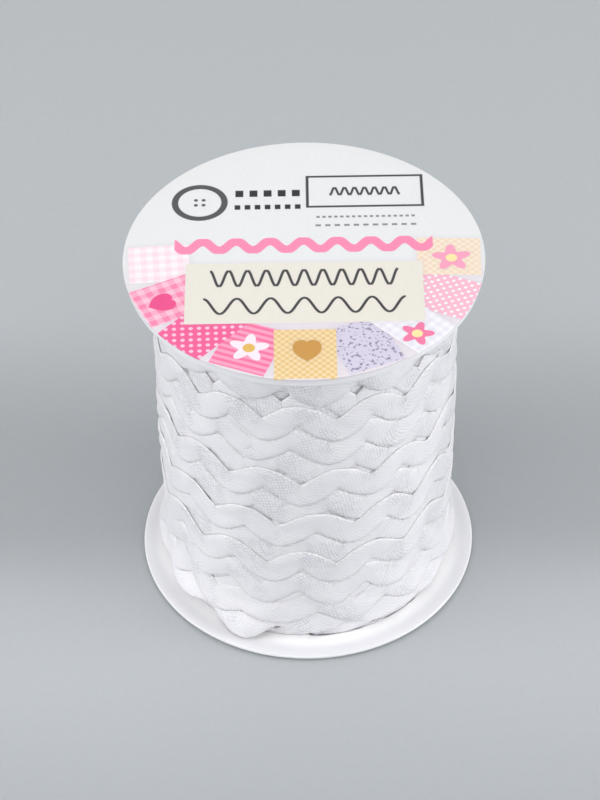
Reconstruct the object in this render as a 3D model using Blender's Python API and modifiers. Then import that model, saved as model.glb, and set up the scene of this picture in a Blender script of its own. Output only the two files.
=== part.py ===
"""A roll of white ric rac on a plastic reel, standing on its lower flange.

Units are metres, +Z runs up the reel's axis, and the origin is the middle of the base.
Angles are in degrees round the axis, 0 at the front (-Y), growing towards +X.
"""

import math

import bmesh
import bpy

MM = 0.001

# Driving sizes of the reel
FLANGE_RADIUS = 30.0 * MM
UPPER_FLANGE_RADIUS = 29.7 * MM
FLANGE_THICKNESS = 1.1 * MM
FLANGE_SOFT_EDGE = 0.3 * MM
OVERALL_HEIGHT = 68.0 * MM
LABEL_RADIUS = 30.0 * MM
LABEL_THICKNESS = 0.35 * MM
SEAT_GAP = 0.3 * MM
ROUND_SIDES = 96
FLAT_FACE_ANGLE = math.radians(30)
CREASE_ANGLE = math.radians(50)

# Heights that follow from them
LABEL_BASE = OVERALL_HEIGHT - LABEL_THICKNESS
FLANGE_TOP_BASE = LABEL_BASE - SEAT_GAP - FLANGE_THICKNESS
WINDING_FOOT = FLANGE_THICKNESS + SEAT_GAP
WINDING_HEAD = FLANGE_TOP_BASE - SEAT_GAP

# The braid, as it lies in the outer layer
WAVES_PER_TURN = 13
STEPS_PER_WAVE = 7
BRAID_WIDTH = 5.1 * MM
HIGH_RADIUS = 26.1 * MM
LOW_RADIUS = 25.5 * MM
CROWN = 0.2 * MM
UNDER_RADIUS = 24.8 * MM
LEAST_WIDTH = 0.9 * MM
EDGE_SLOPE = 0.15 * MM

# One row for each turn that shows, from the foot up: its mean height in mm, the angle of the
# crest nearest the front, its wave's half height in mm, and whether it lies over the turn below
ROWS = [
    # height, crest, wave, over
    (6.3, 14.0, 0.9, False),
    (9.1, 2.0, 1.3, True),
    (14.2, -5.0, 1.6, True),
    (19.4, -3.0, 1.6, True),
    (24.0, 0.0, 1.6, False),
    (28.8, 3.0, 1.6, True),
    (33.8, 7.0, 1.6, False),
    (39.2, 11.0, 1.6, True),
    (43.6, 17.0, 1.6, False),
    (48.6, -6.0, 1.6, True),
    (53.8, -2.0, 1.6, True),
    (58.35, 5.0, 2.1, False),
    (62.1, 19.0, 1.5, True),
]

# How far the lowest turn's lower edge stands out over the flange: the angle, and the radius in mm
FOOT = [
    # angle, radius
    (-165.0, 26.4),
    (-130.0, 27.0),
    (-98.0, 28.0),
    (-78.0, 26.8),
    (-55.0, 27.7),
    (-40.0, 27.3),
    (-25.0, 28.6),
    (-12.0, 26.3),
    (13.0, 26.2),
    (35.0, 26.4),
    (70.0, 26.6),
    (110.0, 27.2),
    (150.0, 26.4),
]
# The loop of the lowest turn that droops to the flange: its angle, reach and drop
LOOP_ANGLE = -25.0
LOOP_REACH = 12.0
LOOP_DROP = 1.6 * MM


def clear_scene():
    for thing in list(bpy.data.objects):
        bpy.data.objects.remove(thing)


def plain_material(name, colour, roughness):
    """A Principled material of one colour and roughness."""
    material = bpy.data.materials.new(name)
    material.use_nodes = True
    shader = material.node_tree.nodes["Principled BSDF"]
    shader.inputs["Base Color"].default_value = (*colour, 1.0)
    shader.inputs["Roughness"].default_value = roughness
    shader.inputs["Metallic"].default_value = 0.0
    return material


def move_to(collection, thing):
    """Puts an object into one collection alone."""
    for other in list(thing.users_collection):
        other.objects.unlink(thing)
    collection.objects.link(thing)


def disc(name, radius, thickness, base, soft_edge, material, collection):
    """A flat round disc with softened edges, standing on the height base."""
    bpy.ops.mesh.primitive_cylinder_add(
        vertices=ROUND_SIDES,
        radius=radius,
        depth=thickness,
        location=(0.0, 0.0, base + thickness / 2),
    )
    thing = bpy.context.object
    thing.name = name
    thing.data.name = name
    thing.data.materials.append(material)
    edge = thing.modifiers.new("soft edge", "BEVEL")
    edge.width = soft_edge
    edge.segments = 2
    edge.limit_method = "ANGLE"
    thing.data.shade_smooth()
    thing.data.set_sharp_from_angle(angle=FLAT_FACE_ANGLE)
    move_to(collection, thing)
    return thing


def foot_radius(angle):
    """The radius of the lowest turn's lower edge, blended smoothly between the points of FOOT."""
    before = (FOOT[-1][0] - 360.0, FOOT[-1][1])
    for after in FOOT + [(FOOT[0][0] + 360.0, FOOT[0][1])]:
        if angle <= after[0]:
            share = (angle - before[0]) / (after[0] - before[0])
            blend = (1 - math.cos(math.pi * share)) / 2
            return (before[1] + (after[1] - before[1]) * blend) * MM
        before = after
    return before[1] * MM


def wave(row, angle):
    """The height of a row's middle line at an angle."""
    height, crest, half_height, _ = row
    return (height + half_height * math.cos(math.radians(WAVES_PER_TURN * (angle - crest)))) * MM


def border(index, angle):
    """The height of the line where row index meets the row above it: the edge of the one on top."""
    below, above = ROWS[index], ROWS[index + 1]
    if above[3]:
        return wave(above, angle) - BRAID_WIDTH / 2
    return wave(below, angle) + BRAID_WIDTH / 2


def column(angle):
    """The winding's outline at one angle, from the foot up, as (radius, height) points."""
    droop = LOOP_DROP * math.exp(-(((angle - LOOP_ANGLE) / LOOP_REACH) ** 2))
    lines = [wave(ROWS[0], angle) - BRAID_WIDTH / 2 - droop]
    lines += [border(i, angle) for i in range(len(ROWS) - 1)]
    lines.append(WINDING_HEAD - LEAST_WIDTH)
    for i in range(1, len(lines)):
        lines[i] = max(lines[i], lines[i - 1] + LEAST_WIDTH)
    for i in range(len(lines) - 2, -1, -1):
        lines[i] = min(lines[i], lines[i + 1] - LEAST_WIDTH)
    spread = foot_radius(angle)
    points = [(UNDER_RADIUS, WINDING_FOOT)]
    for row, low, high in zip(ROWS, lines, lines[1:]):
        edge = HIGH_RADIUS if row[3] else LOW_RADIUS
        middle = edge + (CROWN if row[3] else -CROWN)
        points.append((edge, low + EDGE_SLOPE))
        points.append((middle, (low + high) / 2))
        points.append((edge, high - EDGE_SLOPE))
    points.append((UNDER_RADIUS, WINDING_HEAD))
    # the lowest turn leans out to the spread of its lower edge
    low_edge, low_middle, low_top = points[1], points[2], points[3]
    points[1] = (spread, low_edge[1])
    points[2] = ((spread + low_top[0]) / 2, low_middle[1])
    return points


def winding(material, collection):
    """The wound braid: one closed body whose grid lines run along the waves of its rows."""
    columns = WAVES_PER_TURN * STEPS_PER_WAVE
    shape = bmesh.new()
    grid = []
    for step in range(columns):
        angle = -180.0 + 360.0 * (step + 0.5) / columns
        turn = math.radians(angle)
        outward = (math.sin(turn), -math.cos(turn))
        grid.append(
            [shape.verts.new((r * outward[0], r * outward[1], z)) for r, z in column(angle)]
        )
    for here, there in zip(grid, grid[1:] + grid[:1]):
        for level in range(len(here) - 1):
            shape.faces.new((here[level], there[level], there[level + 1], here[level + 1]))
    for level, height in ((0, WINDING_FOOT), (-1, WINDING_HEAD)):
        middle = shape.verts.new((0.0, 0.0, height))
        for here, there in zip(grid, grid[1:] + grid[:1]):
            shape.faces.new((here[level], there[level], middle))
    bmesh.ops.recalc_face_normals(shape, faces=shape.faces)
    bmesh.ops.triangulate(shape, faces=shape.faces)
    mesh = bpy.data.meshes.new("winding")
    shape.to_mesh(mesh)
    shape.free()
    mesh.shade_smooth()
    mesh.set_sharp_from_angle(angle=CREASE_ANGLE)
    mesh.materials.append(material)
    thing = bpy.data.objects.new("winding", mesh)
    collection.objects.link(thing)
    return thing


def main():
    clear_scene()
    roll = bpy.data.collections.new("ric_rac_roll")
    bpy.context.scene.collection.children.link(roll)
    reel_plastic = plain_material("white moulded plastic", (0.80, 0.80, 0.81), 0.40)
    top_plastic = plain_material("white moulded plastic, upper flange", (0.81, 0.81, 0.82), 0.40)
    braid = plain_material("white satin braid", (0.78, 0.78, 0.81), 0.55)
    card = plain_material("printed card", (0.86, 0.80, 0.81), 0.35)
    disc(
        "flange_bottom", FLANGE_RADIUS, FLANGE_THICKNESS, 0.0, FLANGE_SOFT_EDGE, reel_plastic, roll
    )
    winding(braid, roll)
    disc(
        "flange_top",
        UPPER_FLANGE_RADIUS,
        FLANGE_THICKNESS,
        FLANGE_TOP_BASE,
        FLANGE_SOFT_EDGE,
        top_plastic,
        roll,
    )
    disc("label", LABEL_RADIUS, LABEL_THICKNESS, LABEL_BASE, LABEL_THICKNESS / 4, card, roll)


main()
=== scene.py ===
import math

import bpy
import numpy as np
from mathutils import Matrix, Vector


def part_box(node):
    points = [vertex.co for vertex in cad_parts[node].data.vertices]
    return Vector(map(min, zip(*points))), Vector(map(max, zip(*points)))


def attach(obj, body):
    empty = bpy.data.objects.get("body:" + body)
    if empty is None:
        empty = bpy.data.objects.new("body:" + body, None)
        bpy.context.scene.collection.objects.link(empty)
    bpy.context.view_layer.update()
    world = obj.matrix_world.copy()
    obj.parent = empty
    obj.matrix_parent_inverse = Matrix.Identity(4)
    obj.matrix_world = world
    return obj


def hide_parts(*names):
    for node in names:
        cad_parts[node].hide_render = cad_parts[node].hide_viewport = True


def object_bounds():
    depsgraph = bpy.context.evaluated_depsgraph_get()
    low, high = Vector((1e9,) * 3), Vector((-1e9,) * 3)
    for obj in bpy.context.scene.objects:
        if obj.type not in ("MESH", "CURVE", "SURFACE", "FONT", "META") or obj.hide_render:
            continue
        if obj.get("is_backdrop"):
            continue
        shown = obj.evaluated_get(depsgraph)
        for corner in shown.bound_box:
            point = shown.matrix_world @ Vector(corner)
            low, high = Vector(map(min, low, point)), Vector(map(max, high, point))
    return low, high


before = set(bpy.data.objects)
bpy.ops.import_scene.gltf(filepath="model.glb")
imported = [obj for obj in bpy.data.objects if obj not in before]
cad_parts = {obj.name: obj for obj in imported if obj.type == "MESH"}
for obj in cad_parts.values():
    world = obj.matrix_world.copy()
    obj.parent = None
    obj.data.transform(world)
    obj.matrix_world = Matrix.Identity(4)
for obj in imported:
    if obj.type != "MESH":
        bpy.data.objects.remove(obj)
cad_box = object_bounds()

MM = 0.001
FULL_TURN = 2 * math.pi

# The camera, from the outlines of the two flanges in the photograph of 600 by 800 pixels
FRAME_LONG_SIDE = 800.0
CAMERA_PIXELS = 2617.3
CAMERA_SENSOR = 36.0
CAMERA_DISTANCE = 481.4 * MM
CAMERA_ELEVATION = 46.9
CAMERA_PAN = 0.133
CAMERA_TILT = 2.977
CAMERA_ROLL = 0.886

# The reel and its card, taken from the frame
CARD_LOW, CARD_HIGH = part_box("label")
CARD_RADIUS = CARD_HIGH.x
WINDING_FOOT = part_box("winding")[0].z / MM
WINDING_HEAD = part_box("winding")[1].z / MM

# The braid, in millimetres
BRAID_WIDTH = 5.1
BRAID_THICKNESS = 0.3
# The spacing of its threads, which cross at 45 degrees, and the length of edge from one to the next
THREAD = 0.6
SCALLOP = THREAD * math.sqrt(2)
WAVES_PER_TURN = 13
# The radii on which the outer turns and the layer under them lie
LAY_RADIUS = 25.8
UNDER_RADIUS = 25.2
# How much of its wave's slope the braid leans with
LEAN = 0.8
# The distance between the laid points along the braid, and how many lie across it
STEP = SCALLOP / 4
COLUMNS = 9
# The outer turns are cut into this many pieces of one length
STRETCHES = 4

# The turns of the outer layer in the order of winding: up the reel, then down over them
TURNS = [
    # height of the middle line in mm, angle of the crest nearest the front, half wave in mm
    (6.3, 14.0, 0.9),
    (9.1, 2.0, 1.3),
    (14.2, -5.0, 1.6),
    (24.0, 0.0, 1.6),
    (33.8, 7.0, 1.6),
    (43.6, -10.7, 1.6),
    (48.6, -6.0, 1.6),
    (58.25, 5.0, 2.2),
    (63.9, -8.7, 0.5),
    (62.1, -8.7, 1.5),
    (53.8, -2.0, 1.6),
    (39.2, 11.0, 1.6),
    (28.8, 3.0, 1.6),
    (19.4, -3.0, 1.6),
]
# A turn keeps its height round the front and moves to the next one in this share of the back
CHANGE_FROM, CHANGE_TO = 0.30, 0.70
START_TURN, END_TURN = -0.40, 13.5

# How far the lowest turn's lower edge stands out over the flange
FOOT = [
    # angle, radius in mm
    (-165.0, 26.4),
    (-130.0, 27.0),
    (-98.0, 28.0),
    (-78.0, 26.8),
    (-55.0, 27.7),
    (-40.0, 27.3),
    (-25.0, 28.6),
    (-12.0, 26.3),
    (13.0, 26.2),
    (35.0, 26.4),
    (70.0, 26.6),
    (110.0, 27.2),
    (150.0, 26.4),
]
# The loop of the lowest turn that droops to the flange: its angle, reach and drop, and how much of
# the drop each of the first turns takes
LOOP_ANGLE, LOOP_REACH, LOOP_DROP = -25.0, 12.0, 1.6
LOOP_SHARES = (1.0, 0.9, 0.3)

# The regular layers under the outer turns, each one helix of braid; the deep one shows through gaps
LAYERS = [
    # name, radius in mm, height of its first turn and of its top, spacing of its rows, columns
    ("ricrac_under_layer", UNDER_RADIUS, WINDING_FOOT + 3.65, 56.0, 0.45, 7),
    ("ricrac_deep_layer", 24.85, WINDING_FOOT - 4.25, WINDING_HEAD + 5.0, 0.6, 5),
]
LAYER_PITCH = 4.95
LAYER_TILT = 0.04
LAYER_WAVE = 1.6
# How much longer the braid is than the way round, because of its waves
WAVE_STRETCH = 1.15

# Where the floor's painted shade, a darker band behind the roll, rises and falls, away from the camera
FLOOR_SHADE_BAND = [(-17 * MM, 5 * MM), (66 * MM, 28 * MM)]

LIGHTS = [
    # name, place and size in m, power in watts, spread in degrees
    ("overhead softbox", (-0.1, 0.1, 1.1), 1.0, 3.0, 180),
    ("front softbox", (0.0, -0.8, 0.85), 0.9, 1.4, 180),
    ("left front softbox", (-0.6, -0.6, 0.7), 0.8, 2.0, 180),
    ("right front softbox", (0.6, -0.6, 0.7), 0.8, 2.0, 180),
    ("low front fill", (0.0, -1.2, 0.35), 0.8, 1.1, 180),
    ("left fill", (-0.95, -0.15, 0.3), 0.6, 0.74, 60),
    ("right fill", (0.95, -0.15, 0.3), 0.6, 0.87, 60),
]


def linear(hex_colour):
    """An sRGB hex colour as linear RGBA."""
    parts = [int(hex_colour[i : i + 2], 16) / 255 for i in (1, 3, 5)]
    light = [c / 12.92 if c <= 0.04045 else ((c + 0.055) / 1.055) ** 2.4 for c in parts]
    return (*light, 1.0)


# Words for the kinds of node used often, with their properties
KINDS = {
    "mix": ("ShaderNodeMix", {"data_type": "RGBA"}),
    "tint": ("ShaderNodeMix", {"data_type": "RGBA", "blend_type": "MULTIPLY"}),
    "step": ("ShaderNodeMapRange", {"interpolation_type": "SMOOTHSTEP"}),
    "noise": ("ShaderNodeTexNoise", {}),
    "scale": ("ShaderNodeVectorMath", {"operation": "SCALE"}),
    "length": ("ShaderNodeVectorMath", {"operation": "LENGTH"}),
    "vector sum": ("ShaderNodeVectorMath", {"operation": "ADD"}),
    "apart": ("ShaderNodeSeparateXYZ", {}),
    "together": ("ShaderNodeCombineXYZ", {}),
}


def adder(tree):
    """Gives the one function that adds a node to this tree, with its settings and links."""

    def node(kind, *values, **settings):
        """Adds a node and gives its first result. The kind is a word of KINDS, a Math operation in
        small letters or a node's own name, and the values go to its inputs in order."""
        kind, common = KINDS.get(kind, (kind, {}))
        if kind.islower():
            kind, common = "ShaderNodeMath", {"operation": kind.upper()}
        made = tree.nodes.new(kind)
        for name, value in {**common, **settings}.items():
            setattr(made, name, value)
        sockets = [socket for socket in made.inputs if socket.enabled]
        for socket, value in zip(sockets, values):
            if isinstance(value, bpy.types.NodeSocket):
                tree.links.new(value, socket)
            elif isinstance(value, str) and value.startswith("#"):
                socket.default_value = linear(value)
            elif value is not None:
                socket.default_value = value
        return next(socket for socket in made.outputs if socket.enabled)

    return node


def ride_and_slot(piece, slot, *nodes):
    """Fixes a finished piece to the roll and hides the solids that it stands for. The slot is not
    used.
    """
    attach(piece, "root")
    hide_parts(*nodes)


def smooth_noise(where, spacing, seed):
    """Smooth noise from -1 to 1 along a line, with a new value each spacing."""
    places = np.asarray(where) / spacing
    values = np.random.default_rng(seed).uniform(-1, 1, int(places.max() - places.min()) + 4)
    start = np.floor(places.min())
    index = np.floor(places - start).astype(int)
    share = places - start - index
    blend = share * share * (3 - 2 * share)
    return values[index] * (1 - blend) + values[index + 1] * blend


def smooth_step(low, high, value):
    """Rises smoothly from 0 to 1 as the value goes from low to high."""
    share = np.clip((value - low) / (high - low), 0, 1)
    return share * share * (3 - 2 * share)


def make_camera():
    """The camera at the photograph's place: it looks at the base point, then pans, tilts and rolls."""
    elevation = math.radians(CAMERA_ELEVATION)
    place = Vector((0, -math.cos(elevation), math.sin(elevation))) * CAMERA_DISTANCE
    forward = -place.normalized()
    right = Vector((1, 0, 0))
    up = right.cross(forward)
    pan = Matrix.Rotation(math.radians(CAMERA_PAN), 3, up)
    forward, right = pan @ forward, pan @ right
    tilt = Matrix.Rotation(math.radians(CAMERA_TILT), 3, right)
    forward, up = tilt @ forward, tilt @ up
    roll = Matrix.Rotation(math.radians(CAMERA_ROLL), 3, forward)
    right, up = roll @ right, roll @ up
    data = bpy.data.cameras.new("camera")
    data.sensor_width = CAMERA_SENSOR
    data.lens = CAMERA_PIXELS / FRAME_LONG_SIDE * CAMERA_SENSOR
    camera = bpy.data.objects.new("camera", data)
    turn = Matrix((right, up, -forward)).transposed().to_4x4()
    camera.matrix_world = Matrix.Translation(place) @ turn
    bpy.context.scene.collection.objects.link(camera)
    bpy.context.scene.camera = camera


def foot_radius(degrees):
    """The lowest turn's radius on the flange, blended smoothly between the points of FOOT."""
    angles = np.array([row[0] for row in FOOT])
    radii = np.array([row[1] for row in FOOT])
    angles = np.concatenate([[angles[-1] - 360], angles, [angles[0] + 360]])
    radii = np.concatenate([[radii[-1]], radii, [radii[0]]])
    wrapped = (np.asarray(degrees) + 180) % 360 - 180
    index = np.clip(np.searchsorted(angles, wrapped) - 1, 0, len(angles) - 2)
    share = (wrapped - angles[index]) / (angles[index + 1] - angles[index])
    return radii[index] + (radii[index + 1] - radii[index]) * (1 - np.cos(np.pi * share)) / 2


class WoundSurface:
    """The outside of what is wound so far: its radius over the angle and the height, in mm."""

    CELL = 0.3

    def __init__(self, radius):
        self.across = int(FULL_TURN * LAY_RADIUS / self.CELL)
        self.levels = int((WINDING_HEAD - WINDING_FOOT) / self.CELL) + 2
        self.radius = np.full((self.levels, self.across), float(radius))

    def cells(self, turns, height):
        """Where each place lies in the grid: its level and its column, with their fractions."""
        column = (turns % 1.0) * self.across
        level = np.clip((height - WINDING_FOOT) / self.CELL, 0, self.levels - 1.001)
        return level, column

    def read(self, turns, height):
        """The radii of the four cells round each place."""
        level, column = self.cells(turns, height)
        low, left = level.astype(int), column.astype(int) % self.across
        right = (left + 1) % self.across
        r = self.radius
        return np.stack([r[low, left], r[low, right], r[low + 1, left], r[low + 1, right]])

    def cover(self, turns, height, radius):
        """Raises the cells under these points to their radius."""
        level, column = self.cells(turns, height)
        np.maximum.at(self.radius, (level.astype(int), column.astype(int) % self.across), radius)


def blur(values, spread, axis):
    """Gaussian blur of a grid along one axis, its ends repeated."""
    reach = max(1, int(3 * spread))
    kernel = np.exp(-0.5 * (np.arange(-reach, reach + 1) / spread) ** 2)
    kernel /= kernel.sum()
    moved = np.moveaxis(values, axis, 0)
    ends = [np.repeat(end, reach, 0) for end in (moved[:1], moved[-1:])]
    padded = np.concatenate([ends[0], moved, ends[1]])
    total = sum(k * padded[i : i + len(moved)] for i, k in enumerate(kernel))
    return np.moveaxis(total, 0, axis)


def braid_path():
    """The braid's middle line, with a point each STEP: turns, height, lean, wave phase and length."""
    turns = np.arange(START_TURN, END_TURN, 0.0002)
    heights = np.array([row[0] for row in TURNS])
    wave_angle = 360 / WAVES_PER_TURN
    crests = np.unwrap(np.array([row[1] for row in TURNS]), period=wave_angle)
    waves = np.array([row[2] for row in TURNS])
    here = np.clip(np.floor(turns).astype(int), 0, len(TURNS) - 1)
    after = np.clip(here + 1, 0, len(TURNS) - 1)
    share = smooth_step(CHANGE_FROM, CHANGE_TO, turns - np.floor(turns))
    share[turns < 0] = 0
    level, crest, wave = [
        row[here] * (1 - share) + row[after] * share for row in (heights, crests, waves)
    ]
    level += 0.25 * smooth_noise(turns, 0.11, 3)
    degrees = turns * 360
    for turn, share_here in enumerate(LOOP_SHARES):
        away = (degrees - LOOP_ANGLE - turn * 360) / LOOP_REACH
        level -= LOOP_DROP * share_here * np.exp(-(away**2))
    crest += 1.3 * smooth_noise(turns, 0.09, 4)
    wave *= 1 + 0.1 * smooth_noise(turns, 0.06, 5)
    phase = WAVES_PER_TURN * (turns * FULL_TURN - np.radians(crest))
    height = level + wave * np.cos(phase)
    run = turns * FULL_TURN * LAY_RADIUS
    slope = np.gradient(height, run)
    lean = np.arctan(slope) * LEAN
    length = np.concatenate([[0], np.cumsum(np.hypot(np.diff(run), np.diff(height)))])
    even = np.arange(0, length[-1], STEP)
    return {
        "turns": np.interp(even, length, turns),
        "height": np.interp(even, length, height),
        "lean": np.interp(even, length, lean),
        "phase": np.interp(even, length, phase),
        "length": even,
    }


def lay_braid(path, wound):
    """Lays the braid turn by turn on what is wound already, and returns its underside's grid."""
    across = BRAID_WIDTH / 2 * np.sin(np.linspace(-math.pi / 2, math.pi / 2, COLUMNS))
    lean = path["lean"][:, None]
    turns = path["turns"][:, None] - across * np.sin(lean) / (FULL_TURN * LAY_RADIUS)
    height = path["height"][:, None] + across * np.cos(lean)
    height = np.clip(height, WINDING_FOOT + 0.15, WINDING_HEAD - 0.15)
    # the longer edge of each wave is slack and curls off the winding
    slack = np.maximum(0, across / (BRAID_WIDTH / 2) * np.cos(path["phase"])[:, None])
    looseness = 0.5 + 0.5 * smooth_noise(path["length"], 9.0, 6)
    curl = 0.05 * looseness[:, None] * slack**2
    at_edge = (across / (BRAID_WIDTH / 2)) ** 12
    radius = np.zeros_like(height)
    # it is laid an eighth of a turn at a time, and the blurs look 6 mm to each side
    chunk = int(len(height) / (END_TURN - START_TURN) / 8)
    margin = int(6 / STEP)
    waiting = []
    for start in range(0, len(height), chunk):
        low, high = max(0, start - margin), min(len(height), start + chunk + margin)
        around = wound.read(turns[low:high], height[low:high])
        highest = around.max(0)
        rest = highest.copy()
        for _ in range(3):
            rest = np.maximum(highest, blur(blur(rest, 0.5 / STEP, 0), 0.5, 1))
        rest = blur(blur(rest, 0.35 / STEP, 0), 0.5, 1)
        # the edges hug what lies under them
        under = blur(around.mean(0), 0.25 / STEP, 0)
        rest += (under - rest) * at_edge
        stop = min(len(height), start + chunk)
        radius[start:stop] = rest[start - low : stop - low]
        # a turn is added to the wound surface half a turn late, so that it never lies on itself
        waiting.append((start, stop))
        if len(waiting) > 4:
            first, last = waiting.pop(0)
            top = radius[first:last] + BRAID_THICKNESS
            cover_densely(wound, turns[first:last], height[first:last], top)
    radius += curl
    # below 9 mm the turns spread out over the flange
    flare = foot_radius(turns * 360) - LAY_RADIUS
    radius += flare * smooth_step(-9.0, -3.0, -height)
    return across, turns, height, radius


def cover_densely(wound, turns, height, top):
    """Covers the wound surface under a grid, with points between its columns."""
    for share in np.linspace(0, 1, 4, endpoint=False):
        between = [g[:, :-1] * (1 - share) + g[:, 1:] * share for g in (turns, height, top)]
        wound.cover(*[g.ravel() for g in between])
    wound.cover(turns[:, -1], height[:, -1], top[:, -1])


def rolled(turns, height, radius):
    """Points in metres from an angle in turns, a height and a radius in mm."""
    angle = turns * FULL_TURN
    return np.stack([radius * np.sin(angle), -radius * np.cos(angle), height], -1) * MM


def grid_mesh(name, points, run, outward, edgeward, rising):
    """A sheet of quads from a grid of points, its UV map in metres along and across the braid."""
    rows, columns = points.shape[:2]
    index = np.arange(rows * columns).reshape(rows, columns)
    corners = [index[:-1, :-1], index[1:, :-1], index[1:, 1:], index[:-1, 1:]]
    quads = np.stack(corners, -1).reshape(-1, 4)
    mesh = bpy.data.meshes.new(name)
    mesh.vertices.add(rows * columns)
    mesh.vertices.foreach_set("co", points.astype(np.float32).ravel())
    mesh.loops.add(quads.size)
    mesh.loops.foreach_set("vertex_index", quads.astype(np.int32).ravel())
    mesh.polygons.add(len(quads))
    mesh.polygons.foreach_set("loop_start", np.arange(0, quads.size, 4, dtype=np.int32))
    mesh.update(calc_edges=True)
    layer = mesh.uv_layers.new(name="braid_run")
    layer.uv.foreach_set("vector", run.reshape(-1, 2)[quads.ravel()].astype(np.float32).ravel())
    for attribute, values in (("outward", outward), ("edgeward", edgeward)):
        made = mesh.attributes.new(attribute, "FLOAT_VECTOR", "POINT")
        made.data.foreach_set("vector", values.astype(np.float32).ravel())
    made = mesh.attributes.new("rising", "FLOAT", "POINT")
    made.data.foreach_set("value", rising.astype(np.float32).ravel())
    return mesh


def node_inputs(tree, sockets):
    """Gives a geometry tree its geometry and named inputs, and returns their sockets by name."""
    tree.interface.new_socket("Geometry", in_out="INPUT", socket_type="NodeSocketGeometry")
    for name, kind in sockets.items():
        tree.interface.new_socket(name, in_out="INPUT", socket_type="NodeSocket" + kind)
    tree.interface.new_socket("Geometry", in_out="OUTPUT", socket_type="NodeSocketGeometry")
    source = tree.nodes.new("NodeGroupInput")
    return {socket.name: socket for socket in source.outputs if socket.name}


def set_inputs(modifier, values):
    """Sets a modifier's inputs by their sockets' identifiers."""
    for item in modifier.node_group.interface.items_tree:
        if item.item_type == "SOCKET" and item.in_out == "INPUT" and item.name in values:
            modifier[item.identifier] = values[item.name]


def braid_body_tree():
    """Geometry nodes that turn the braid's laid underside into a closed band with scalloped edges."""
    tree = bpy.data.node_groups.new("braid body", "GeometryNodeTree")
    node = adder(tree)
    given = node_inputs(
        tree,
        {
            "Thickness": "Float",
            "Braid Width": "Float",
            "Edge Roundness": "Float",
            "Scallop Length": "Float",
            "Scallop Depth": "Float",
            "Braid Length": "Float",
            "Material": "Material",
        },
    )
    run, outward, edgeward = [
        node("GeometryNodeInputNamedAttribute", name, data_type="FLOAT_VECTOR")
        for name in ("braid_run", "outward", "edgeward")
    ]
    along, across, _ = node("apart", run).node.outputs
    # the side of the braid's section: full in the middle, and round down to nothing at the edges
    share = node("divide", across, node("divide", given["Braid Width"], 2.0))
    edge_share = node("minimum", node("absolute", share), 1.0)
    fall = node("power", edge_share, given["Edge Roundness"])
    section = node("sqrt", node("subtract", 1.0, fall))
    # the cut ends close in the same way
    to_end = node("minimum", along, node("subtract", given["Braid Length"], along))
    closing = node("sqrt", node("minimum", node("divide", to_end, 0.6 * MM), 1.0))
    rise = node("multiply", node("multiply", section, closing), given["Thickness"])
    up = node("scale", outward, rise)
    # each thread's turn at the edge makes a small scallop
    angle = node("multiply", node("divide", along, given["Scallop Length"]), FULL_TURN)
    bulge = node("multiply", node("cosine", angle), given["Scallop Depth"])
    near_edge = node("multiply", node("power", edge_share, 5.0), node("sign", share))
    side = node("scale", edgeward, node("multiply", bulge, near_edge))
    scalloped = node("GeometryNodeSetPosition", given["Geometry"], None, None, side)
    face = node("GeometryNodeSetPosition", scalloped, None, None, up)
    both = node("GeometryNodeJoinGeometry", node("GeometryNodeFlipFaces", scalloped))
    tree.links.new(face, both.node.inputs[0])
    closed = node("GeometryNodeMergeByDistance", both, None, 0.002 * MM)
    smooth = node("GeometryNodeSetShadeSmooth", closed)
    real = node("GeometryNodeRealizeInstances", smooth)
    dressed = node("GeometryNodeSetMaterial", real, None, given["Material"])
    out = tree.nodes.new("NodeGroupOutput")
    tree.links.new(dressed, out.inputs[0])
    return tree


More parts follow.
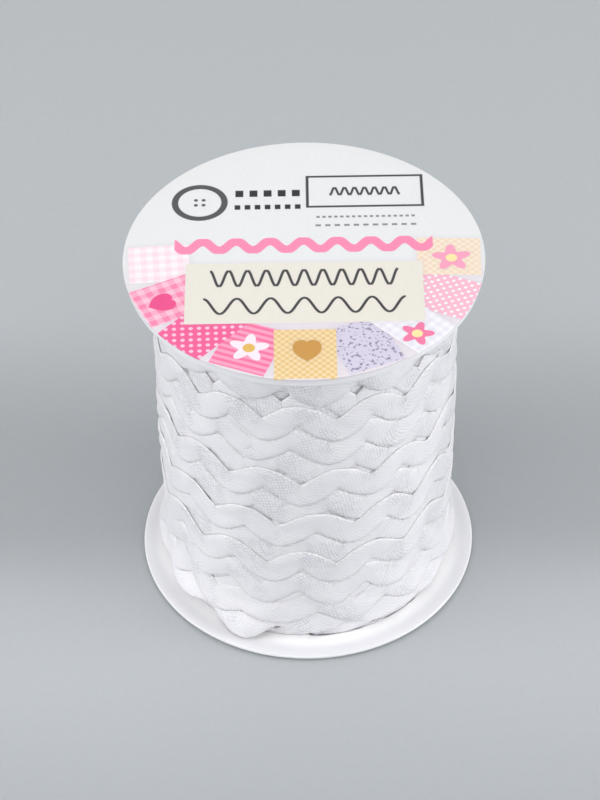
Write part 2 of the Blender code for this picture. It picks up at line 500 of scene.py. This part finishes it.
def regular_layer_tree():
    """Geometry nodes that wind a regular layer of braid: one helix of nested waves."""
    tree = bpy.data.node_groups.new("regular layer", "GeometryNodeTree")
    node = adder(tree)
    given = node_inputs(
        tree,
        {
            "Turns": "Float",
            "Stations": "Int",
            "Columns": "Int",
            "Foot Height": "Float",
            "Pitch": "Float",
            "Waves per Turn": "Float",
            "Half Wave": "Float",
            "Braid Width": "Float",
            "Radius": "Float",
            "Tilt": "Float",
            "Lean": "Float",
            "Lowest": "Float",
            "Highest": "Float",
        },
    )
    mesh = node("GeometryNodeMeshGrid", 1.0, 1.0, given["Stations"], given["Columns"])
    x, y, _ = node("apart", node("GeometryNodeInputPosition")).node.outputs
    turn = node("multiply", node("add", x, 0.5), given["Turns"])
    half_width = node("divide", given["Braid Width"], 2.0)
    across = node("multiply", node("sine", node("multiply", y, math.pi)), half_width)
    angle = node("multiply", turn, FULL_TURN)
    phase = node("multiply", angle, given["Waves per Turn"])
    rise = node("add", node("multiply", turn, given["Pitch"]), given["Foot Height"])
    level = node("add", rise, node("multiply", node("cosine", phase), given["Half Wave"]))
    # the braid leans with the slope of its wave
    rising = node("multiply", node("sine", phase), -1.0)
    swing = node("multiply", given["Half Wave"], given["Waves per Turn"])
    slope = node("multiply", rising, node("divide", swing, given["Radius"]))
    lean = node("multiply", node("arctangent", slope), given["Lean"])
    shift = node("divide", node("multiply", across, node("sine", lean)), given["Radius"])
    round_angle = node("subtract", angle, shift)
    height = node("add", level, node("multiply", across, node("cosine", lean)))
    height = node("minimum", node("maximum", height, given["Lowest"]), given["Highest"])
    # each turn's upper edge leans out over the next turn's lower edge
    radius = node("add", given["Radius"], node("multiply", across, given["Tilt"]))
    towards_front = node("multiply", node("cosine", round_angle), -1.0)
    outward = node("together", node("sine", round_angle), towards_front, 0.0)
    tall = node("together", 0.0, 0.0, height)
    point = node("vector sum", node("scale", outward, radius), tall)
    along = node("multiply", angle, node("multiply", given["Radius"], WAVE_STRETCH))
    for name, kind, domain, value in (
        ("braid_run", "FLOAT2", "CORNER", node("together", along, across, 0.0)),
        ("outward", "FLOAT_VECTOR", "POINT", outward),
        ("edgeward", "FLOAT_VECTOR", "POINT", node("together", 0.0, 0.0, 1.0)),
        ("rising", "FLOAT", "POINT", rising),
    ):
        store = "GeometryNodeStoreNamedAttribute"
        mesh = node(store, mesh, None, name, value, data_type=kind, domain=domain)
    placed = node("GeometryNodeSetPosition", mesh, None, point)
    out = tree.nodes.new("NodeGroupOutput")
    tree.links.new(placed, out.inputs[0])
    return tree


def evaluated_copy(thing, name):
    """A plain mesh object from an object with modifiers, which is removed."""
    bpy.context.view_layer.update()
    graph = bpy.context.evaluated_depsgraph_get()
    mesh = bpy.data.meshes.new_from_object(thing.evaluated_get(graph), depsgraph=graph)
    mesh.name = name
    bpy.data.objects.remove(thing)
    piece = bpy.data.objects.new(name, mesh)
    bpy.context.scene.collection.objects.link(piece)
    return piece


def with_trees(mesh, name, steps):
    """Runs geometry trees with their inputs on a mesh and returns the finished piece."""
    thing = bpy.data.objects.new(name + "_source", mesh)
    bpy.context.scene.collection.objects.link(thing)
    for tree, values in steps:
        modifier = thing.modifiers.new(tree.name, "NODES")
        modifier.node_group = tree
        set_inputs(modifier, values)
    return evaluated_copy(thing, name)


def wind_regular_layers(body_tree, body):
    """The layers under the turns that show, each one helix of braid."""
    layer_tree = regular_layer_tree()
    pieces = []
    for name, layer_radius, foot, top, spacing, columns in LAYERS:
        layer_turns = (top - foot) / LAYER_PITCH
        layer_length = layer_turns * FULL_TURN * layer_radius * WAVE_STRETCH
        helix = {
            "Turns": layer_turns,
            "Stations": int(layer_length / spacing),
            "Columns": columns,
            "Foot Height": foot * MM,
            "Pitch": LAYER_PITCH * MM,
            "Waves per Turn": float(WAVES_PER_TURN),
            "Half Wave": LAYER_WAVE * MM,
            "Braid Width": BRAID_WIDTH * MM,
            "Radius": layer_radius * MM,
            "Tilt": LAYER_TILT,
            "Lean": LEAN,
            "Lowest": (WINDING_FOOT - 0.25) * MM,
            "Highest": (WINDING_HEAD - 0.2) * MM,
        }
        flat_body = {**body, "Braid Length": layer_length * MM, "Scallop Depth": 0.0}
        steps = [(layer_tree, helix), (body_tree, flat_body)]
        pieces.append(with_trees(bpy.data.meshes.new("empty"), name, steps))
    return pieces


def places_round(piece):
    """A finished piece's points as angles in turns, heights and radii in mm."""
    spots = np.empty(len(piece.data.vertices) * 3, np.float32)
    piece.data.vertices.foreach_get("co", spots)
    x, y, z = spots.reshape(-1, 3).T / MM
    return np.arctan2(x, -y) / FULL_TURN, z, np.hypot(x, y)


def wind_outer_turns(body_tree, body, wound):
    """The turns that show, laid over what is wound already, in STRETCHES pieces."""
    path = braid_path()
    across, turns, height, radius = lay_braid(path, wound)
    points = rolled(turns, height, radius)
    run = np.stack(np.broadcast_arrays(path["length"][:, None], across[None, :]), -1) * MM
    outward = rolled(turns, height * 0, np.ones_like(radius)) / MM
    edgeward = np.gradient(points, axis=1)
    edgeward /= np.linalg.norm(edgeward, axis=2, keepdims=True)
    rising = np.broadcast_to(-np.sin(path["phase"])[:, None], radius.shape)
    outer_body = {**body, "Braid Length": path["length"][-1] * MM}
    cuts = np.linspace(0, len(points) - 1, STRETCHES + 1).astype(int)
    pieces = []
    for i, (first, last) in enumerate(zip(cuts, cuts[1:])):
        name = f"ricrac_turns_{i + 1}"
        grids = [grid[first : last + 1] for grid in (points, run, outward, edgeward, rising)]
        pieces.append(with_trees(grid_mesh(name, *grids), name, [(body_tree, outer_body)]))
    return pieces


def wind_the_braid(material):
    """All the wound braid: the regular layers, and the turns that show laid over the first of them."""
    body_tree = braid_body_tree()
    body = {
        "Thickness": BRAID_THICKNESS * MM,
        "Braid Width": BRAID_WIDTH * MM,
        "Edge Roundness": 3.5,
        "Scallop Length": SCALLOP * MM,
        "Scallop Depth": 0.08 * MM,
        "Material": material,
    }
    layers = wind_regular_layers(body_tree, body)
    wound = WoundSurface(UNDER_RADIUS + 0.1)
    wound.cover(*places_round(layers[0]))
    for piece in layers + wind_outer_turns(body_tree, body, wound):
        ride_and_slot(piece, "braid", "winding")


def new_material(name, roughness, specular=0.5):
    """A material, its tree and its Principled shader."""
    material = bpy.data.materials.new(name)
    material.use_nodes = True
    tree = material.node_tree
    shader = tree.nodes["Principled BSDF"]
    shader.inputs["Roughness"].default_value = roughness
    shader.inputs["Specular IOR Level"].default_value = specular
    return material, tree, shader


def let_light_in(shader, weight, depth):
    """Lets the light spread evenly this far below the surface."""
    shader.inputs["Subsurface Weight"].default_value = weight
    shader.inputs["Subsurface Radius"].default_value = (1.0, 1.0, 1.0)
    shader.inputs["Subsurface Scale"].default_value = depth


def braid_material():
    """Flat-braided satin polyester: two sets of shiny threads cross at 45 degrees to the braid's run,
    each over one and under one. The eye sees rows of small bright beads with grey pits between; the
    grey of the pits is painted shade, and the glints on bead tops and the bright edges are painted
    highlights."""
    material, tree, shader = new_material("satin polyester thread, flat braided", 0.38)
    node = adder(tree)
    run = node("ShaderNodeUVMap", uv_map="braid_run")
    place = node("ShaderNodeTexCoord").node.outputs["Object"]
    along, across, _ = node("apart", run).node.outputs
    waves = []
    for operation in ("add", "subtract"):
        diagonal = node("divide", node(operation, along, across), SCALLOP * MM)
        waves.append(node("sine", node("multiply", diagonal, math.pi)))
    first, second = [node("absolute", wave) for wave in waves]
    # a thread is round across, and dips under its neighbour only near the ends of each bead
    bead_one = node("multiply", node("power", first, 0.8), node("power", second, 0.35))
    bead_two = node("multiply", node("power", second, 0.8), node("power", first, 0.35))
    on_top = node("greater_than", node("multiply", *waves), 0.0)
    below = node("subtract", 1.0, on_top)
    beads = node("add", node("multiply", bead_one, on_top), node("multiply", bead_two, below))
    # where the braid rises, the threads that lie level there float over the others as ridges
    rising = node("ShaderNodeAttribute", attribute_name="rising").node.outputs["Fac"]
    ridged = node("multiply", node("step", rising, -0.1, 0.6), 0.75)
    beaded = node("subtract", 1.0, ridged)
    ridges = node("multiply", node("power", first, 0.7), ridged)
    height = node("add", node("multiply", beads, beaded), ridges)
    fibres = node("noise", run, 1 / (0.12 * MM))
    # painted shade: the colour is darker in the pits between the threads, with a random tone from the
    # fibres
    pit_shade_and_fibres = node("add", node("multiply", height, 0.7), node("multiply", fibres, 0.2))
    colour = node("mix", pit_shade_and_fibres, "#ebeaf0", "#f7f6f9")
    # in patches the tops of some beads get a painted glint, with painted shade in the pits between
    # them
    painted_glint_and_pit_shade = node("mix", node("step", height, 0.68, 0.96), "#e2e1e8", "#ffffff")
    glint_and_relief_patch = node("step", node("noise", place, 1 / (7 * MM)), 0.42, 0.6)
    broken = node("step", node("noise", run, 1 / (1.1 * MM)), 0.35, 0.55)
    glint_and_relief_patch = node("multiply", node("multiply", glint_and_relief_patch, beaded), broken)
    colour = node("mix", glint_and_relief_patch, colour, painted_glint_and_pit_shade)
    # the threads that turn back at the edges get a painted highlight
    rim = node("step", node("absolute", across), BRAID_WIDTH * 0.43 * MM, BRAID_WIDTH * 0.48 * MM)
    colour = node("mix", node("multiply", rim, 0.8), colour, "#ffffff")
    uneven = node("mix", node("noise", place, 1 / (4 * MM)), "#f4f3f7", "#ffffff")
    tree.links.new(node("tint", 1.0, colour, uneven), shader.inputs["Base Color"])
    rough = node("add", node("multiply", fibres, 0.25), 0.2)
    tree.links.new(rough, shader.inputs["Roughness"])
    shader.inputs["Sheen Weight"].default_value = 0.15
    let_light_in(shader, 0.5, 1.0 * MM)
    # outside the patches the weave is pulled flatter
    relief = node("multiply", height, node("add", node("multiply", glint_and_relief_patch, 0.5), 0.5))
    bump = node("ShaderNodeBump", 1.0, 0.08 * MM, None, relief)
    tree.links.new(bump, shader.inputs["Normal"])
    return material


def plastic_material(low, high):
    """Injection-moulded white polystyrene: smooth, with faint flow marks round the gate and fine
    scuffs, and a painted light that whitens it round the hub against the winding's shade. The eye sees
    a soft even white with a weak, slightly broken gloss."""
    material, tree, shader = new_material("white polystyrene, injection moulded", 0.35)
    node = adder(tree)
    place = node("ShaderNodeTexCoord").node.outputs["Object"]
    flow = node("noise", place, 1 / (9 * MM), 3.0)
    scuffs = node("noise", place, 1 / (0.5 * MM), 4.0)
    # painted light: the plastic is whiter round the hub, to lift the shade that the winding casts on
    # it
    x, y, _ = node("apart", place).node.outputs
    out = node("length", node("together", x, y, 0.0))
    painted_light_near_hub = node("step", out, 28.5 * MM, 26.0 * MM)
    colour = node("mix", painted_light_near_hub, node("mix", flow, low, high), "#ffffff")
    tree.links.new(colour, shader.inputs["Base Color"])
    rough = node("add", node("multiply", scuffs, 0.25), 0.25)
    tree.links.new(rough, shader.inputs["Roughness"])
    let_light_in(shader, 0.4, 1.5 * MM)
    relief = node("add", node("multiply", flow, 4.0), scuffs)
    bump = node("ShaderNodeBump", 1.0, 0.006 * MM, None, relief)
    tree.links.new(bump, shader.inputs["Normal"])
    return material


# The card's print: a fan of patches along the front of the rim, each with its angle from the front
PATCHES = [
    # angle, width, height in mm, ink, pattern, second ink, spacing of the pattern in mm
    (-86, 9.0, 10.0, "#fbd9e4", "checks", "#f3eef0", 2.0),
    (66, 9.4, 12.0, "#f3b6ca", "dots", "#f0eeef", 1.6),
    (-64, 9.4, 11.5, "#f686ac", "checks", "#fbc3d5", 2.2),
    (23, 9.6, 11.0, "#d3cddf", "speckle", "#8d86a3", 0.7),
    (-22, 9.4, 11.0, "#f3729f", "stripes", "#f9a1c0", 1.3),
    (45, 8.8, 12.5, "#e3e0ea", "checks", "#efeef2", 1.6),
    (88, 9.2, 10.5, "#ecd5bc", "weave", "#f1e2cf", 1.4),
    (-43, 9.2, 12.5, "#ef5f97", "dots", "#f9c6d8", 1.9),
    (0, 10.0, 11.5, "#e3c184", "weave", "#efd6a8", 1.3),
]
# How far the patches' middles lie from the middle of the card, in mm
PATCH_MIDDLE = 24.0
# Then the motifs, x to the right and y away from the camera, in mm from the middle of the card
MOTIFS = [
    # shape, x, y, width, height, turn, ink, pattern, second ink, spacing of the pattern in mm
    ("ribbon", 0.0, 2.6, 43.0, 2.0, 0, "#f48bb0", "plain", "#f48bb0", 5.6),
    ("heart", -23.6, -11.5, 5.0, 5.0, -64, "#e94f8b", "plain", "#e94f8b", 1.0),
    ("flower", -9.0, -22.4, 6.6, 6.6, 10, "#f6e6ee", "plain", "#f6e6ee", 1.0),
    ("disc", -9.0, -22.4, 2.0, 2.0, 0, "#e3b75e", "plain", "#e3b75e", 1.0),
    ("heart", 0.3, -23.6, 5.6, 5.6, 0, "#c8954a", "plain", "#c8954a", 1.0),
    ("flower", 18.0, -19.6, 5.6, 5.6, 0, "#ee7aa3", "plain", "#ee7aa3", 1.0),
    ("disc", 18.0, -19.6, 1.8, 1.8, 0, "#f7e3a4", "plain", "#f7e3a4", 1.0),
    ("flower", 24.4, -1.2, 6.6, 6.6, 20, "#f3a0bd", "plain", "#f3a0bd", 1.0),
    ("disc", 24.4, -1.2, 1.9, 1.9, 0, "#f7e3a4", "plain", "#f7e3a4", 1.0),
    ("box", 0.0, -9.2, 39.0, 14.8, 0, "#e4e0d6", "plain", "#e4e0d6", 1.0),
    ("wave", 0.0, -5.6, 31.0, 3.6, 0, "#3d3c3e", "plain", "#3d3c3e", 3.1),
    ("wave", 0.0, -12.4, 33.0, 3.6, 0, "#3d3c3e", "plain", "#3d3c3e", 5.5),
    ("ring", -17.5, 14.0, 8.4, 8.4, 0, "#505154", "plain", "#505154", 1.1),
    ("disc", -17.5, 14.0, 4.4, 4.4, 0, "#e4e5e6", "holes", "#505154", 1.3),
    ("dashes", -6.0, 16.2, 11.4, 1.7, 0, "#2a2b2d", "plain", "#2a2b2d", 2.4),
    ("dashes", -6.0, 12.6, 11.6, 1.2, 0, "#2a2b2d", "plain", "#2a2b2d", 1.7),
    ("frame", 10.5, 16.5, 19.5, 8.0, 0, "#3f4044", "plain", "#3f4044", 0.5),
    ("wave", 10.5, 16.5, 12.0, 1.6, 0, "#3f4044", "plain", "#3f4044", 1.7),
    ("dashes", 10.5, 9.8, 17.0, 0.5, 0, "#85868a", "plain", "#85868a", 1.0),
    ("dashes", 10.5, 7.6, 17.4, 0.5, 0, "#85868a", "plain", "#85868a", 1.6),
]
# The widths of the drawn lines and of the wavy ribbon, in mm
LINE = 0.5
RIBBON = 1.9


def motif_reach(node, shape, x, y, width, height, spacing):
    """The distance in mm to a motif's outline, below zero inside it. x and y are from its middle."""
    to_side = node("subtract", node("absolute", x), width / 2)
    to_top = node("subtract", node("absolute", y), height / 2)
    box = node("maximum", to_side, to_top)
    if shape == "box":
        return box
    if shape == "frame":
        return node("subtract", node("absolute", box), LINE / 2)
    if shape in ("wave", "ribbon"):
        line = LINE if shape == "wave" else RIBBON
        angle = node("multiply", x, FULL_TURN / spacing)
        swing = node("multiply", node("cosine", angle), height / 2)
        slope = node("multiply", node("sine", angle), math.pi * height / spacing)
        # dividing by the line's length per mm keeps it equally wide on its slopes
        stretch = node("sqrt", node("add", node("multiply", slope, slope), 1.0))
        off_line = node("divide", node("absolute", node("subtract", y, swing)), stretch)
        return node("maximum", node("subtract", off_line, line / 2), to_side)
    if shape == "dashes":
        angle = node("multiply", x, FULL_TURN / spacing)
        swing = node("multiply", node("cosine", angle), spacing / 4)
        return node("maximum", node("subtract", -0.05 * spacing, swing), box)
    out = node("sqrt", node("add", node("multiply", x, x), node("multiply", y, y)))
    if shape == "disc":
        return node("subtract", out, width / 2)
    if shape == "ring":
        off_line = node("absolute", node("subtract", out, width / 2))
        return node("subtract", off_line, spacing / 2)
    if shape == "flower":
        petals = node("cosine", node("multiply", node("arctan2", y, x), 5.0))
        return node("subtract", out, node("multiply", node("add", petals, 3.2), width / 8.4))
    # a heart: a disc whose height is sheared up on both sides of its middle
    shear = node("multiply", node("sqrt", node("absolute", x)), math.sqrt(width) / 3.2)
    raised = node("subtract", y, shear)
    bent = node("add", node("multiply", raised, raised), node("multiply", x, x))
    return node("subtract", node("sqrt", bent), width / 2.4)


def pattern_share(node, pattern, x, y, spacing):
    """How much of the second ink a pattern lays at a place, from 0 to 1."""
    if pattern == "holes":
        to_hole = [node("subtract", node("absolute", side), spacing / 2) for side in (x, y)]
        out = node("sqrt", node("add", *[node("multiply", side, side) for side in to_hole]))
        return node("step", out, spacing / 3, spacing / 5)
    if pattern == "speckle":
        grains = node("noise", node("together", x, y, 0.0), 1 / spacing)
        return node("step", grains, 0.55, 0.62)
    swings = [node("sine", node("multiply", side, FULL_TURN / spacing)) for side in (x, y)]
    if pattern == "stripes":
        return node("step", swings[1], -0.2, 0.2)
    if pattern == "dots":
        return node("step", node("multiply", *swings), 0.35, 0.5)
    if pattern == "weave":
        return node("step", node("multiply", *swings), -0.6, 0.6)
    halves = [node("step", swing, -0.15, 0.15) for swing in swings]
    return node("multiply", node("add", *halves), 0.5)


def card_material():
    """Coated card, printed offset: white, a haberdashery pattern in pinks, gold and lilac, and a cream
    panel with waves. The eye sees flat ink under a thin even gloss, with a faint paper grain."""
    material, tree, shader = new_material("coated card, offset printed", 0.3)
    node = adder(tree)
    place = node("ShaderNodeTexCoord").node.outputs["Object"]
    in_mm = node("scale", place, 1 / MM)
    clouds = node("multiply", node("noise", place, 1 / (14 * MM)), 12.0)
    wash = node("step", node("add", node("apart", in_mm).node.outputs[1], clouds), -6.0, 6.0)
    colour = node("mix", wash, "#e3dce2", "#e4e5e6")
    patches = []
    for angle, width, height, *inks in PATCHES:
        turn = math.radians(angle)
        spot = (PATCH_MIDDLE * math.sin(turn), -PATCH_MIDDLE * math.cos(turn))
        patches.append(("box", *spot, width, height, angle, *inks))
    for shape, x, y, width, height, turn, ink, pattern, second_ink, spacing in patches + MOTIFS:
        turned_by = (0, 0, math.radians(turn))
        local = node("ShaderNodeMapping", in_mm, (x, y, 0), turned_by, vector_type="TEXTURE")
        here = tuple(node("apart", local).node.outputs)[:2]
        reach = motif_reach(node, shape, *here, width, height, spacing)
        if shape in ("box", "heart", "flower"):
            shade = node("multiply", node("step", reach, 1.4, -0.8), 0.16)
            colour = node("mix", shade, colour, "#a98fa8")
        if pattern != "plain":
            ink = node("mix", pattern_share(node, pattern, *here, spacing), ink, second_ink)
        colour = node("mix", node("step", reach, 0.07, -0.07), colour, ink)
    grain = node("noise", place, 1 / (0.35 * MM), 3.0)
    colour = node("tint", 1.0, colour, node("mix", grain, "#f4f4f4", "#ffffff"))
    tree.links.new(colour, shader.inputs["Base Color"])
    rough = node("add", node("multiply", grain, 0.15), 0.24)
    tree.links.new(rough, shader.inputs["Roughness"])
    relief = node("add", grain, node("multiply", node("noise", place, 1 / (8 * MM)), 20.0))
    bump = node("ShaderNodeBump", 1.0, 0.004 * MM, None, relief)
    tree.links.new(bump, shader.inputs["Normal"])
    return material


def floor_material():
    """Matt painted board, rolled on: even grey with a fine nap, and painted shade that deepens it in a
    soft band behind the roll and a little towards the front. The eye sees a plain pale ground that
    keeps the roll's soft shadow."""
    material, tree, shader = new_material("matt painted board, rolled", 0.85, 0.2)
    node = adder(tree)
    place = node("ShaderNodeTexCoord").node.outputs["Object"]
    away = node("apart", place).node.outputs[1]
    # painted shade: the grey deepens in a soft band behind the roll
    painted_shade_band = node("multiply", *[node("step", away, *edge) for edge in FLOOR_SHADE_BAND])
    # painted shade: the ground grows a little darker towards the front
    ground_with_painted_shade = node("mix", node("step", away, -25 * MM, -75 * MM), "#b3b7ba", "#a7abaf")
    colour = node("mix", painted_shade_band, ground_with_painted_shade, "#a5a9ac")
    nap = node("noise", place, 1 / (1.2 * MM))
    colour = node("tint", 1.0, colour, node("mix", nap, "#f8f8f8", "#ffffff"))
    tree.links.new(colour, shader.inputs["Base Color"])
    bump = node("ShaderNodeBump", 1.0, 0.01 * MM, None, nap)
    tree.links.new(bump, shader.inputs["Normal"])
    return material


def turned(name, profile, sides, material):
    """A round piece from its half section of (radius, height) points, from the axis out and back."""
    ring = np.arange(sides) / sides * FULL_TURN
    inner = profile[1:-1]
    points = [(0, 0, profile[0][1])]
    for radius, height in inner:
        points += [(radius * math.sin(a), -radius * math.cos(a), height) for a in ring]
    points.append((0, 0, profile[-1][1]))
    faces = []
    last = len(points) - 1
    for i in range(sides):
        j = (i + 1) % sides
        faces.append((0, 1 + j, 1 + i))
        top = 1 + (len(inner) - 1) * sides
        faces.append((last, top + i, top + j))
        for level in range(len(inner) - 1):
            low, high = 1 + level * sides, 1 + (level + 1) * sides
            faces.append((low + i, low + j, high + j, high + i))
    mesh = bpy.data.meshes.new(name)
    mesh.from_pydata(points, [], faces)
    mesh.shade_smooth()
    mesh.set_sharp_from_angle(angle=math.radians(35))
    mesh.materials.append(material)
    piece = bpy.data.objects.new(name, mesh)
    bpy.context.scene.collection.objects.link(piece)
    return piece


def rounded_disc(radius, base, top, soft, dish=0.0):
    """The half section of a flat disc with rounded edges; dish lifts its rim off what it stands on."""
    corner = [math.radians(a) for a in range(0, 91, 15)]
    rim = base + dish
    low = [(radius - soft + soft * math.sin(a), rim + soft - soft * math.cos(a)) for a in corner]
    high = [(radius - soft + soft * math.cos(a), top - soft + soft * math.sin(a)) for a in corner]
    foot = [(radius * 0.9, base)]
    if dish:
        foot = [(radius * 0.94, base), (radius * 0.965, rim)]
    return [(0, base)] + foot + low + high + [(radius * 0.9, top), (0, top)]


def make_reel(card):
    """Both flanges and the card, with rounder rims than the solids have."""
    flanges = [
        # name, height of its top, softness of its edges, lift of its rim, its two whites; the whites
        # differ from flange to flange only as painted shade, set to how light falls on each
        ("flange_bottom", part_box("flange_bottom")[1].z, 0.25 * MM, 0.45 * MM, "#dddde1", "#e2e2e5"),
        # the card is stuck down on the upper flange
        ("flange_top", CARD_LOW.z - 0.02 * MM, 0.15 * MM, 0.0, "#e2e2e6", "#e8e8eb"),
    ]
    for name, top, soft, dish, *whites_with_painted_shade in flanges:
        low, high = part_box(name)
        section = rounded_disc(high.x, low.z, top, soft, dish)
        flange = turned(name + "_turned", section, 256, plastic_material(*whites_with_painted_shade))
        ride_and_slot(flange, "reel_plastic", name)
    section = rounded_disc(CARD_RADIUS, CARD_LOW.z, CARD_HIGH.z, 0.08 * MM)
    ride_and_slot(turned("label_printed", section, 256, card), "label_card", "label")


def make_stage():
    """A plain pale floor and soft studio light."""
    bpy.ops.mesh.primitive_plane_add(size=6.0, location=(0, 0, 0))
    floor = bpy.context.object
    floor.name = "floor"
    floor.data.materials.append(floor_material())
    floor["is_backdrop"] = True
    world = bpy.data.worlds.new("studio")
    bpy.context.scene.world = world
    world.use_nodes = True
    background = world.node_tree.nodes["Background"]
    background.inputs["Color"].default_value = linear("#f8f9fb")
    background.inputs["Strength"].default_value = 0.5
    for name, place, size, power, spread in LIGHTS:
        data = bpy.data.lights.new(name, "AREA")
        data.shape = "SQUARE"
        data.size = size
        data.energy = power
        data.spread = math.radians(spread)
        light = bpy.data.objects.new(name, data)
        light.location = place
        light.rotation_euler = (-Vector(place)).to_track_quat("-Z", "Y").to_euler()
        bpy.context.scene.collection.objects.link(light)
    bpy.context.scene.view_settings.view_transform = "Standard"


make_camera()
make_stage()
make_reel(card_material())
wind_the_braid(braid_material())

boxes = {"cad": cad_box, "visual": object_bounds()}
{name: [list(corner) for corner in box] for name, box in boxes.items()}
